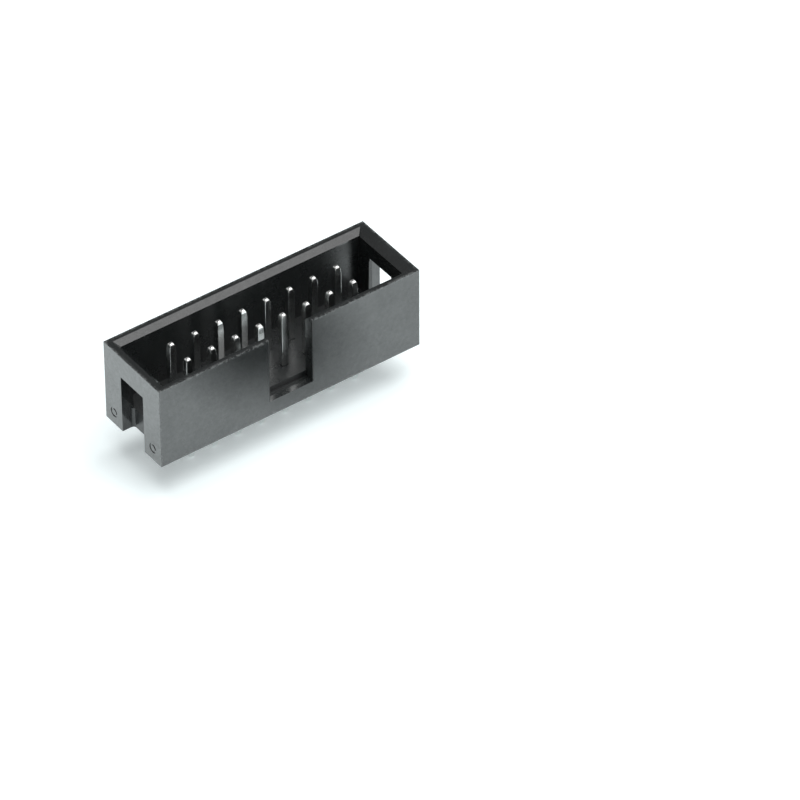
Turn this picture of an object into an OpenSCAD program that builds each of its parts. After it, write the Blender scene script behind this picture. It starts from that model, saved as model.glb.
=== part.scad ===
// Shrouded two-row pin header for a ribbon-cable socket, straight, for through-hole soldering.
// Origin at the middle of the footprint on the board face: +X runs along the rows, -Y is the
// side with the polarising notch, +Z is the direction that the socket comes from.

/* [Contact grid] */
// Distance between neighbouring contacts, along a row and from row to row
pitch = 2.54; // [2.3:0.01:2.8]
// Contacts in each of the two rows
columns = 8; // [3:1:20]

/* [Contact pins] */
// Side of the square pin wire
pin_size = 0.64; // [0.45:0.01:0.75]
// Length of pin that stands below the board face, for soldering
tail_l = 3.5; // [2.4:0.1:5]
// Depth of the pin ends below the rim of the shroud
tip_recess = 0.7; // [0.3:0.05:2]
// Length of the coined end of a pin, slightly tapered and with a rounded nose
tip_l = 0.8; // [0.6:0.05:1.2]
// What each face of the wire loses over the taper
tip_draft = 0.03; // [0.01:0.01:0.06]
// Length of the rounded nose within the coined end
nose_l = 0.4; // [0.2:0.05:0.5]
// Side of the small flat left on the nose
tip_flat = 0.15; // [0.1:0.01:0.25]
// Length of the swaged stretch that grips the housing
swage_l = 0.6; // [0.3:0.05:0.9]
// Gap between the plain wire and its hole on each side, which the swage takes up
hole_gap = 0.03; // [0.01:0.01:0.08]

/* [Shroud] */
// Distance from the last contact to the outer end face
end_margin = 5.08; // [4.6:0.02:7]
// Width of the housing over both long walls
housing_w = 8.5; // [8:0.1:12]
// Height of the housing from the board face to the rim
housing_h = 8.6; // [7.6:0.1:12]
// Thickness of the base that holds the pins
base_t = 2.15; // [1.8:0.05:3]
// Thickness of the long walls where they meet the base
side_wall = 1.1; // [0.9:0.05:1.4]
// Thickness of the end walls where they meet the base
end_wall = 1.25; // [0.9:0.05:1.6]
// Draft: what each wall loses in thickness on its inner face from the base up to the rim
wall_draft = 0.1; // [0.02:0.01:0.2]
// Lead-in chamfer round the inside of the rim, measured along each face
lead_in = 0.5; // [0.2:0.05:0.6]

/* [Polarising notch] */
// Width of the notch in the middle of the -Y wall
notch_w = 4.6; // [3:0.1:6]
// Height of the notch's sill above the board face
notch_sill = 1.6; // [0.8:0.1:3]

/* [End slots] */
// Width of the slot up the middle of each end wall
slot_w = 3.4; // [2:0.1:5]
// Height of the slot on the outer face, from the board face
slot_h = 6.25; // [3:0.05:7]
// How much higher the slot's roof is at its inner end
slot_rise = 0.35; // [0.05:0.05:0.5]
// Fillet radius where the slot's sides run into the base
slot_fillet = 0.3; // [0.1:0.05:0.6]

/* [Underside] */
// Length along the row of the solder pocket round each pin
pocket_l = 1.5; // [1.1:0.05:1.9]
// Width across the row of the solder pocket round each pin
pocket_w = 1.25; // [1.1:0.05:1.9]
// Depth of the solder pockets
pocket_depth = 0.9; // [0.3:0.05:1.2]

/* [Mould marks] */
// Diameter of the round marks that the mould leaves
mark_d = 1; // [0.5:0.1:1.4]
// Width of the raised centre inside each mark
mark_core_d = 0.64; // [0.2:0.02:0.8]
// Depth of the ring of each mark
mark_depth = 0.06; // [0.02:0.01:0.15]
// Distance from the long faces to the middle of a mark
mark_inset = 1.26; // [0.9:0.02:1.5]
// Height above the board face of the marks on the end faces
mark_z = 1.33; // [0.9:0.01:3]
// Distance from the end faces to the marks on the underside
mark_end_inset = 3; // [2.4:0.05:3.4]

/* [Hidden] */
rows = 2;
contacts = rows * columns;

housing_l = (columns - 1) * pitch + 2 * end_margin;
half_l = housing_l / 2;
half_w = housing_w / 2;

// Half sizes of the cavity at the base and at the rim below the lead-in
floor_x = half_l - end_wall;
floor_y = half_w - side_wall;

hole_size = pin_size + 2 * hole_gap;
nose_half = pin_size / 2 - tip_draft;
nose_steps = 4;
pin_top_z = housing_h - tip_recess;
swage_z = pocket_depth + (base_t - pocket_depth - swage_l) / 2;
swage_ramp = 0.12;

// Overshoot of a cut past the face that it leaves through
eps = 0.2;
plastic = [0.06, 0.06, 0.065];
tin = [0.78, 0.78, 0.76];

$fn = 48;

// Contacts are counted from the notch side: odd numbers in the -Y row, even ones behind them.
function pin_name(n) = str("pin_", n < 10 ? "0" : "", n);
function pin_x(n) = (floor((n - 1) / rows) - (columns - 1) / 2) * pitch;
function pin_y(n) = ((n - 1) % rows - (rows - 1) / 2) * pitch;

// Draws its children, given in the X-Z plane, through the whole depth between the long faces.
module through_y(depth) {
    rotate([90, 0, 0]) linear_extrude(depth, center = true) children();
}

// Draws its children, given in the Y-Z plane, along the whole length between the end faces.
module through_x(length) {
    rotate([90, 0, 90]) linear_extrude(length, center = true) children();
}

// Section of the cavity: drafted walls from the base up, with the lead-in at the rim.
module cavity_section(half_floor) {
    half_neck = half_floor + wall_draft;
    polygon([
        [-half_floor, base_t], [half_floor, base_t],
        [half_neck, housing_h - lead_in],
        [half_neck + lead_in + eps, housing_h + eps],
        [-half_neck - lead_in - eps, housing_h + eps],
        [-half_neck, housing_h - lead_in]
    ]);
}

module cavity() {
    intersection() {
        through_y(housing_w) cavity_section(floor_x);
        through_x(housing_l) cavity_section(floor_y);
    }
}

// Opening in the -Y wall for the socket's key, down past the base's top to the sill.
module polarising_notch() {
    translate([-notch_w / 2, -half_w - eps, notch_sill])
        cube([notch_w, side_wall + eps, housing_h - notch_sill + eps]);
}

// Plan of an end slot: open outward, with filleted corners against the base.
module end_slot_plan() {
    difference() {
        translate([floor_x, -slot_w / 2]) square([end_wall + eps, slot_w]);
        for (side = [-1, 1])
            translate([floor_x + slot_fillet, side * (slot_w / 2 - slot_fillet)])
                difference() {
                    translate([-slot_fillet - eps, side > 0 ? 0 : -slot_fillet - eps])
                        square(slot_fillet + eps);
                    circle(slot_fillet);
                }
    }
}

// Slot up an end wall, open at the board face, with a roof that rises inward.
module end_slot() {
    intersection() {
        translate([0, 0, -eps]) linear_extrude(housing_h) end_slot_plan();
        through_y(slot_w) polygon([
            [floor_x, -eps], [half_l + eps, -eps],
            [half_l + eps, slot_h], [half_l, slot_h],
            [floor_x, slot_h + slot_rise]
        ]);
    }
    // Above the base the fillets run out, so the slot is square where it meets the cavity
    translate([floor_x - eps, -slot_w / 2, base_t])
        cube([slot_fillet + eps, slot_w, slot_h - base_t]);
}

// Square hole for one pin, opening into a solder pocket at the board face.
module pin_passage() {
    translate([-hole_size / 2, -hole_size / 2, -eps])
        cube([hole_size, hole_size, base_t + 2 * eps]);
    translate([-pocket_l / 2, -pocket_w / 2, -eps])
        cube([pocket_l, pocket_w, pocket_depth + eps]);
}

// Shallow ring that the mould leaves, sunk along +Z from z = 0.
module mould_mark() {
    translate([0, 0, -eps]) difference() {
        cylinder(d = mark_d, h = mark_depth + eps);
        cylinder(d = mark_core_d, h = mark_depth + eps);
    }
}

module mould_marks() {
    for (end = [0, 180], side = [-1, 1]) rotate([0, 0, end]) {
        translate([half_l, side * (half_w - mark_inset), mark_z])
            rotate([0, -90, 0]) mould_mark();
        translate([half_l - mark_end_inset, side * (half_w - mark_inset), 0]) mould_mark();
    }
}

module housing() {
    color(plastic) difference() {
        translate([-half_l, -half_w, 0]) cube([housing_l, housing_w, housing_h]);
        cavity();
        polarising_notch();
        for (end = [0, 180]) rotate([0, 0, end]) end_slot();
        for (n = [1 : contacts]) translate([pin_x(n), pin_y(n), 0]) pin_passage();
        mould_marks();
    }
}

// Nose as a quarter ellipse from its flat to the taper, as [half width, distance from the pin's end].
nose = [for (i = [0 : nose_steps]) let (turn = 90 * i / nose_steps)
    [tip_flat / 2 + (nose_half - tip_flat / 2) * sin(turn), nose_l * (1 - cos(turn))]];

// Outline of a pin seen from the side: coined ends, plain wire, swage inside the base.
module pin_outline() {
    wire = pin_size / 2;
    grip = hole_size / 2;
    right = concat(
        [for (p = nose) [p[0], p[1] - tail_l]],
        [
            [wire, tip_l - tail_l],
            [wire, swage_z - swage_ramp], [grip, swage_z],
            [grip, swage_z + swage_l], [wire, swage_z + swage_l + swage_ramp],
            [wire, pin_top_z - tip_l]
        ],
        [for (i = [nose_steps : -1 : 0]) [nose[i][0], pin_top_z - nose[i][1]]]
    );
    left = [for (i = [len(right) - 1 : -1 : 0]) [-right[i][0], right[i][1]]];
    polygon(concat(right, left));
}

module contact_pin(n) {
    color(tin) translate([pin_x(n), pin_y(n), 0]) intersection() {
        through_y(hole_size) pin_outline();
        through_x(hole_size) pin_outline();
    }
}

housing();
for (n = [1 : contacts])
    contact_pin(n);
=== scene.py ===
"""Looks of a shrouded two-row pin header: black moulded housing and tinned wire pins on a pale table."""

import math

import bpy
from mathutils import Matrix, Vector


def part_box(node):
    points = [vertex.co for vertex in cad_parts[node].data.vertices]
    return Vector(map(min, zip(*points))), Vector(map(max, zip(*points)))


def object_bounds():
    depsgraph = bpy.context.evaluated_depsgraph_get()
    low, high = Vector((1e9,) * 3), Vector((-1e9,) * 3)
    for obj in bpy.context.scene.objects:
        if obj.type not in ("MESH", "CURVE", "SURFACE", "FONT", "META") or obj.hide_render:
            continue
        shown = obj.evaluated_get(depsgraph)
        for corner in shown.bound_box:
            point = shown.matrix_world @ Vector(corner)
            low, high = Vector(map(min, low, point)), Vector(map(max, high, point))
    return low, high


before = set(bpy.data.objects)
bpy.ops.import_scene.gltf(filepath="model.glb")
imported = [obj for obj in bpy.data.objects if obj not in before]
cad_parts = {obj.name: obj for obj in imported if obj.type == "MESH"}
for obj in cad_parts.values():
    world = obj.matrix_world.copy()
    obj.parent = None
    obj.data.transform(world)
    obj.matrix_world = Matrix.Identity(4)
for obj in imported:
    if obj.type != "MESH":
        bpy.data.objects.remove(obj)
CAD_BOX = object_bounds()

MM = 0.001
MICRON = 0.000001

HOUSING_LO, HOUSING_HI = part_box("housing")
FLOOR_Z = CAD_BOX[0].z
PIN_NAMES = sorted(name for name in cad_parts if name.startswith("pin_"))


# ---------------------------------------------------------------- node trees

class Nodes:
    """Short way to write a node tree: each call adds a node and links or sets its inputs."""

    def __init__(self, tree):
        self.tree = tree
        tree.nodes.clear()

    def add(self, kind, inputs=None, **settings):
        node = self.tree.nodes.new(kind)
        for name, value in settings.items():
            setattr(node, name, value)
        for key, value in (inputs or {}).items():
            self.feed(node.inputs[key], value)
        return node

    def feed(self, socket, value):
        if isinstance(value, bpy.types.NodeSocket):
            self.tree.links.new(value, socket)
        else:
            socket.default_value = value

    def math(self, operation, *values):
        """Applies an operation between the first value and each later one in turn."""
        result = values[0]
        for value in values[1:]:
            result = self.add("ShaderNodeMath", {0: result, 1: value}, operation=operation).outputs[0]
        return result

    def vector(self, operation, *values):
        return self.add("ShaderNodeVectorMath", dict(enumerate(values)), operation=operation)

    def split(self, vector):
        """The X, Y and Z of a vector."""
        return self.add("ShaderNodeSeparateXYZ", {"Vector": vector}).outputs

    def noise(self, vector, size, detail=2.0, roughness=0.5):
        """Noise whose features are about size metres across."""
        node = self.add("ShaderNodeTexNoise", {"Vector": vector, "Scale": 1.0 / size,
                                               "Detail": detail, "Roughness": roughness})
        return node.outputs["Fac"]

    def ramp(self, value, low, high, to_low=0.0, to_high=1.0):
        """Maps low..high onto to_low..to_high, held at the ends."""
        node = self.add("ShaderNodeMapRange", {"Value": value, "From Min": low, "From Max": high,
                                               "To Min": to_low, "To Max": to_high}, clamp=True)
        return node.outputs["Result"]

    def mix_colour(self, factor, a, b):
        node = self.add("ShaderNodeMix", data_type="RGBA")
        self.feed(node.inputs["Factor"], factor)
        self.feed(node.inputs[6], a)
        self.feed(node.inputs[7], b)
        return node.outputs[2]

    def bump(self, height, strength, distance, normal=None):
        """Relief that height describes, laid over an earlier relief where normal is given."""
        node = self.add("ShaderNodeBump", {"Height": height, "Strength": strength, "Distance": distance})
        if normal:
            self.feed(node.inputs["Normal"], normal)
        return node.outputs[0]


def new_material(name):
    material = bpy.data.materials.new(name)
    material.use_nodes = True
    return material, Nodes(material.node_tree)


def object_place(n):
    """Position in the frame's own coordinates, since no piece is moved."""
    return n.add("ShaderNodeTexCoord").outputs["Object"]


# ------------------------------------------------------------------ black plastic

# Colour of the plastic between and on its glass fibres, and where it is rubbed or scratched; along the
# outer edges that lighter colour is also a painted highlight
PLASTIC_DARK = (0.011, 0.013, 0.013, 1.0)
PLASTIC_FIBRE = (0.022, 0.025, 0.026, 1.0)
PLASTIC_RUBBED_HIGHLIT = (0.20, 0.21, 0.21, 1.0)
# How far in from an outer edge the housing is rubbed and carries a painted highlight
RUB_AND_HIGHLIGHT_REACH = 0.28 * MM
# Bounds of the painted shade in the cavity, where the plastic is given little gloss: in from the outer
# walls, and down from the rim
CAVITY_SHADE_IN = 0.85 * MM
CAVITY_SHADE_DOWN = 0.62 * MM
# Bounds of the painted shade in the notch, given little gloss the same way: out from the middle, and up
# from the board face
NOTCH_SHADE_HALF = 2.42 * MM
NOTCH_SHADE_SILL = 1.62 * MM


def edge_rub_and_highlight(n, place):
    """1 on an outer edge of the housing, falling to 0 at RUB_AND_HIGHLIGHT_REACH from it: where it is
    rubbed and where a highlight is painted.
    """
    middle = (HOUSING_LO + HOUSING_HI) / 2
    half = (HOUSING_HI - HOUSING_LO) / 2
    offset = n.vector("SUBTRACT", place, middle).outputs[0]
    from_middle = n.split(n.vector("ABSOLUTE", offset).outputs[0])
    gaps = [n.math("SUBTRACT", half[k], from_middle[k]) for k in range(3)]
    smallest = n.math("MINIMUM", *gaps)
    largest = n.math("MAXIMUM", *gaps)
    second = n.math("SUBTRACT", n.math("ADD", *gaps), smallest, largest)
    return n.ramp(second, 0.0, RUB_AND_HIGHLIGHT_REACH, 1.0, 0.0)


def painted_shade_zone(n, place):
    """1 in the cavity and the notch, where little gloss paints shade into the sheltered plastic, and 0
    elsewhere.
    """
    across = n.split(n.vector("ABSOLUTE", place).outputs[0])
    signed = n.split(place)
    cavity = n.math("MULTIPLY", n.math("LESS_THAN", across[0], HOUSING_HI.x - CAVITY_SHADE_IN),
                    n.math("LESS_THAN", across[1], HOUSING_HI.y - CAVITY_SHADE_IN),
                    n.math("LESS_THAN", signed[2], HOUSING_HI.z - CAVITY_SHADE_DOWN))
    notch = n.math("MULTIPLY", n.math("LESS_THAN", across[0], NOTCH_SHADE_HALF),
                   n.math("GREATER_THAN", signed[2], NOTCH_SHADE_SILL),
                   n.math("LESS_THAN", signed[1], 0.0))
    return n.math("MAXIMUM", cavity, notch)


def scratches(n, place, turn, length, width, cover):
    """Sparse fine lines: noise drawn out along one direction, kept only where it is highest."""
    drawn = n.add("ShaderNodeMapping", {"Vector": place, "Rotation": turn,
                                        "Scale": (width / length, 1.0, 1.0)}).outputs[0]
    lines = n.noise(drawn, width, detail=1.0)
    return n.ramp(lines, 1.0 - cover, 1.0 - cover + 0.05)


def wear_and_edge_highlight(n, place):
    """Rubbed edges that also carry a painted highlight, specks and faint scratches, from 0 where there
    are none to 1.
    """
    near_edge = edge_rub_and_highlight(n, place)
    patches = n.ramp(n.noise(place, 1.5 * MM, detail=2.0), 0.48, 0.66)
    chipped = n.ramp(n.noise(place, 0.35 * MM, detail=4.0, roughness=0.7), 0.42, 0.68)
    # painted highlight: near the outer edges the rubbed colour also stands in for light caught by the
    # edges
    rubbed_and_highlit = n.math("MULTIPLY", near_edge, chipped, 0.8)
    specks = n.ramp(n.noise(place, 0.16 * MM, detail=3.0, roughness=0.7), 0.64, 0.72)
    specks = n.math("MULTIPLY", specks, n.ramp(near_edge, 0.0, 1.0, 0.35, 1.0), patches, 0.5)
    lines = n.math("MAXIMUM", scratches(n, place, (0.3, 0.5, 0.4), 2.2 * MM, 0.05 * MM, 0.30),
                   scratches(n, place, (1.2, -0.4, 2.0), 1.4 * MM, 0.04 * MM, 0.30))
    lines = n.math("MULTIPLY", lines, patches, 0.2)
    return n.math("MAXIMUM", rubbed_and_highlit, specks, lines)


def moulded_plastic():
    """Black glass-filled plastic: glossy with faint clouds, fibre speckle, scuffs and rubbed edges that
    also carry a painted highlight, and painted shade as little gloss in the cavity and notch.
    """
    material, n = new_material("moulded_plastic")
    place = object_place(n)
    clouds = n.noise(place, 2.4 * MM, detail=4.0, roughness=0.6)
    mottle = n.noise(place, 0.4 * MM, detail=4.0, roughness=0.65)
    fibres = n.noise(place, 0.07 * MM, detail=2.0)
    worn_and_highlit = wear_and_edge_highlight(n, place)
    painted_shade = painted_shade_zone(n, place)

    tint = n.mix_colour(n.ramp(fibres, 0.35, 0.75), PLASTIC_DARK, PLASTIC_FIBRE)
    # the rubbed colour is real wear and, along the outer edges, also a painted highlight
    tint = n.mix_colour(worn_and_highlit, tint, PLASTIC_RUBBED_HIGHLIT)
    roughness = n.math("ADD", n.ramp(clouds, 0.3, 0.7, 0.13, 0.21), n.ramp(fibres, 0.3, 0.8, 0.0, 0.06),
                       n.math("MULTIPLY", worn_and_highlit, 0.28), n.math("MULTIPLY", painted_shade, 0.10))
    gloss = n.math("ADD", n.ramp(clouds, 0.35, 0.65, 0.72, 0.92), n.ramp(fibres, 0.3, 0.8, -0.22, 0.22),
                   n.ramp(mottle, 0.3, 0.7, -0.20, 0.20))
    # painted shade: the coat gloss falls to a twentieth in the cavity and the notch, so little is
    # mirrored there
    gloss = n.math("MULTIPLY", gloss, n.math("SUBTRACT", 1.0, n.math("MULTIPLY", worn_and_highlit, 0.6)),
                   n.ramp(painted_shade, 0.0, 1.0, 1.0, 0.05))
    waves = n.bump(clouds, 0.35, 0.004 * MM)
    grain = n.math("ADD", n.math("MULTIPLY", fibres, 0.5), n.math("MULTIPLY", worn_and_highlit, 0.5))
    relief = n.bump(grain, 0.25, 0.006 * MM, normal=waves)

    plastic = n.add("ShaderNodeBsdfPrincipled", {"Base Color": tint, "Roughness": roughness,
                                                 "Normal": relief, "Specular IOR Level": 0.8,
                                                 "Coat Weight": gloss, "Coat Roughness": 0.10})
    n.add("ShaderNodeOutputMaterial", {"Surface": plastic.outputs[0]})
    return material


# ------------------------------------------------------------------ tinned wire

TIN_DULL = (0.78, 0.79, 0.78, 1.0)
TIN_BRIGHT = (0.90, 0.91, 0.90, 1.0)
# How much the draw lines are stretched along the wire
DRAW_SCALE = (1.0, 1.0, 0.05)


def tinned_wire():
    """Bright tin plate with a satin skin, faint draw lines along the wire and duller clouds."""
    material, n = new_material("tinned_wire")
    place = object_place(n)
    drawn = n.add("ShaderNodeMapping", {"Vector": place, "Scale": DRAW_SCALE}).outputs[0]
    lines = n.noise(drawn, 0.16 * MM, detail=1.0)
    clouds = n.noise(place, 0.8 * MM, detail=2.0)
    tint = n.mix_colour(clouds, TIN_DULL, TIN_BRIGHT)
    roughness = n.math("ADD", n.ramp(lines, 0.3, 0.7, 0.15, 0.21), n.ramp(clouds, 0.3, 0.7, 0.0, 0.06))
    wire = n.add("ShaderNodeBsdfPrincipled", {"Base Color": tint, "Metallic": 1.0,
                                              "Roughness": roughness})
    n.add("ShaderNodeOutputMaterial", {"Surface": wire.outputs[0]})
    return material


# ------------------------------------------------------------------ table

BLACK = (0.0, 0.0, 0.0, 1.0)
WHITE = (1.0, 1.0, 1.0, 1.0)
TABLE_COLOUR = (0.87, 0.94, 0.95, 1.0)
TABLE_SIDE = 3.0
# Share of its colour that the table shows even where no lamp reaches it
TABLE_LIFT = 0.33
# Painted shade: a softly dimmer place on the table in front of the notch, met only by mirrored rays,
# which darkens the reflection in the housing's front face as a dark object standing there would
PAINTED_SHADE_PATCH = Vector((HOUSING_HI.x * 0.37, HOUSING_LO.y - 12.5 * MM, FLOOR_Z))
PAINTED_SHADE_CORE = 3.0 * MM
PAINTED_SHADE_REACH = 10.8 * MM
PAINTED_SHADE_DEPTH = 0.95


def pale_table():
    """Matte white table, lifted to white outside the shadow for the camera and for mirrored rays, with a
    patch of painted shade that only mirrored rays see.
    """
    material, n = new_material("pale_table")
    path = n.add("ShaderNodeLightPath")
    seen = n.math("MAXIMUM", path.outputs["Is Camera Ray"], path.outputs["Is Glossy Ray"],
                  path.outputs["Is Transmission Ray"])
    from_painted_shade = n.vector("DISTANCE", object_place(n), PAINTED_SHADE_PATCH).outputs["Value"]
    # painted shade: mirrored rays see the table darkened round the patch, the camera does not
    dim = n.ramp(from_painted_shade, PAINTED_SHADE_CORE, PAINTED_SHADE_REACH, PAINTED_SHADE_DEPTH, 0.0)
    kept = n.math("SUBTRACT", 1.0, n.math("MULTIPLY", dim, path.outputs["Is Glossy Ray"]))
    matte = n.add("ShaderNodeBsdfDiffuse", {"Color": n.mix_colour(kept, BLACK, TABLE_COLOUR)})
    lift = n.add("ShaderNodeEmission", {"Color": TABLE_COLOUR,
                                        "Strength": n.math("MULTIPLY", seen, TABLE_LIFT, kept)})
    both = n.add("ShaderNodeAddShader", {0: matte.outputs[0], 1: lift.outputs[0]})
    # From below the table is clear, so that the underside of the part can be seen
    clear = n.add("ShaderNodeBsdfTransparent")
    below = n.add("ShaderNodeNewGeometry").outputs["Backfacing"]
    surface = n.add("ShaderNodeMixShader", {0: below, 1: both.outputs[0], 2: clear.outputs[0]})
    n.add("ShaderNodeOutputMaterial", {"Surface": surface.outputs[0]})
    return material


def table():
    mesh = bpy.data.meshes.new("table_top")
    half = TABLE_SIDE / 2
    mesh.from_pydata([(-half, -half, FLOOR_Z), (half, -half, FLOOR_Z),
                      (half, half, FLOOR_Z), (-half, half, FLOOR_Z)], [], [(0, 1, 2, 3)])
    top = bpy.data.objects.new("table_top", mesh)
    bpy.context.scene.collection.objects.link(top)
    mesh.materials.append(pale_table())


# ------------------------------------------------------------------ light

# Radiance of the room round the table, as light and as mirrored in glossy faces
AIR_LIGHT = 0.16
AIR_REFLECTED = 0.09
# Radiance of the pale backdrop low down in the room, as mirrored in glossy faces
BACKDROP_REFLECTED = 0.8
# Where the backdrop starts to fade and where it ends, as the sine of the angle above the table
BACKDROP_LOW = 0.22
BACKDROP_TOP = 0.48


def studio_air():
    """White to the camera, dim as light, and in reflections pale low down and dim overhead."""
    world = bpy.data.worlds.new("studio")
    bpy.context.scene.world = world
    world.use_nodes = True
    n = Nodes(world.node_tree)
    path = n.add("ShaderNodeLightPath")
    rise = n.split(n.add("ShaderNodeTexCoord").outputs["Generated"])[2]
    mirrored = n.ramp(rise, BACKDROP_LOW, BACKDROP_TOP, BACKDROP_REFLECTED, AIR_REFLECTED)
    dim = n.ramp(path.outputs["Is Glossy Ray"], 0.0, 1.0, AIR_LIGHT, mirrored)
    level = n.ramp(path.outputs["Is Camera Ray"], 0.0, 1.0, dim, 1.0)
    sky = n.add("ShaderNodeBackground", {"Color": WHITE, "Strength": level})
    n.add("ShaderNodeOutputWorld", {"Surface": sky.outputs[0]})


def direction(azimuth, elevation):
    """From the object towards a viewer: azimuth 0 is seen along +Y, elevation is above the table."""
    a = math.radians(azimuth)
    e = math.radians(elevation)
    return Vector((math.sin(a) * math.cos(e), -math.cos(a) * math.cos(e), math.sin(e)))


def softbox(name, azimuth, elevation, distance, side, level):
    """Square lamp aimed at the object. level is its radiance, where 1 is white."""
    lamp = bpy.data.lights.new(name, "AREA")
    lamp.shape = "SQUARE"
    lamp.size = side
    lamp.energy = level * math.pi * side * side
    box = bpy.data.objects.new(name, lamp)
    bpy.context.scene.collection.objects.link(box)
    back = direction(azimuth, elevation)
    box.location = back * distance
    box.rotation_mode = "QUATERNION"
    box.rotation_quaternion = back.to_track_quat("Z", "Y")


def lamps():
    softbox("overhead_softbox", azimuth=70.0, elevation=81.0, distance=0.6, side=0.66, level=3.2)
    softbox("front_softbox", azimuth=34.0, elevation=40.0, distance=0.7, side=0.40, level=1.5)


# ------------------------------------------------------------------ camera

CAMERA_AZIMUTH = -36.11
CAMERA_ELEVATION = 40.80
CAMERA_ROLL = -0.20
CAMERA_DISTANCE = 577.1 * MM
CAMERA_AIM = Vector((8.09, -9.34, 0.0)) * MM
SENSOR = 36.0
LENS = 294.41


def camera():
    data = bpy.data.cameras.new("camera")
    data.sensor_width = SENSOR
    data.lens = LENS
    data.clip_start = 0.01
    data.clip_end = 10.0
    eye = bpy.data.objects.new("camera", data)
    bpy.context.scene.collection.objects.link(eye)
    back = direction(CAMERA_AZIMUTH, CAMERA_ELEVATION)
    eye.location = CAMERA_AIM + back * CAMERA_DISTANCE
    level = (-back).to_track_quat("-Z", "Y")
    roll = Matrix.Rotation(math.radians(CAMERA_ROLL), 3, "Z").to_quaternion()
    eye.rotation_mode = "QUATERNION"
    eye.rotation_quaternion = level @ roll
    bpy.context.scene.camera = eye


# ------------------------------------------------------------------ object

# Largest radius and number of steps of the rounding on the edges. The bevel's overlap limit holds for
# a whole piece, so the housing's finest details keep its rounding to about 0.002 mm, in effect sharp
HOUSING_EDGE = (0.07 * MM, 3)
PIN_EDGE = (0.03 * MM, 2)
# Edges that turn by more than this are rounded
SHARP = math.radians(40.0)
# Faces that turn by less than this are one flat face
FLAT = math.radians(0.5)


def plain_normals():
    """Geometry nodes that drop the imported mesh's own normals and shade each facet flat."""
    tree = bpy.data.node_groups.new("plain_normals", "GeometryNodeTree")
    tree.interface.new_socket("Geometry", in_out="INPUT", socket_type="NodeSocketGeometry")
    tree.interface.new_socket("Geometry", in_out="OUTPUT", socket_type="NodeSocketGeometry")
    source = tree.nodes.new("NodeGroupInput")
    drop = tree.nodes.new("GeometryNodeRemoveAttribute")
    drop.inputs["Name"].default_value = "custom_normal"
    flat = tree.nodes.new("GeometryNodeSetShadeSmooth")
    flat.inputs["Shade Smooth"].default_value = False
    sink = tree.nodes.new("NodeGroupOutput")
    tree.links.new(source.outputs[0], drop.inputs["Geometry"])
    tree.links.new(drop.outputs["Geometry"], flat.inputs[0])
    tree.links.new(flat.outputs[0], sink.inputs[0])
    return tree


def round_edges(piece, normals, radius, steps):
    """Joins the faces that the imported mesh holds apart, then rounds the sharp edges between them."""
    piece.modifiers.new("plain_normals", "NODES").node_group = normals
    weld = piece.modifiers.new("weld", "WELD")
    weld.merge_threshold = MICRON
    flat = piece.modifiers.new("flat_faces", "DECIMATE")
    flat.decimate_type = "DISSOLVE"
    flat.angle_limit = FLAT
    bevel = piece.modifiers.new("round_edges", "BEVEL")
    bevel.width = radius
    bevel.segments = steps
    bevel.limit_method = "ANGLE"
    bevel.angle_limit = SHARP
    bevel.use_clamp_overlap = True


def finish_with(piece, material):
    piece.data.materials.clear()
    piece.data.materials.append(material)


def dress():
    normals = plain_normals()
    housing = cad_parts["housing"]
    round_edges(housing, normals, *HOUSING_EDGE)
    finish_with(housing, moulded_plastic())
    wire = tinned_wire()
    for name in PIN_NAMES:
        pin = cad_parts[name]
        round_edges(pin, normals, *PIN_EDGE)
        finish_with(pin, wire)


camera()
studio_air()
table()
lamps()
dress()
bpy.context.scene.view_settings.view_transform = "Standard"
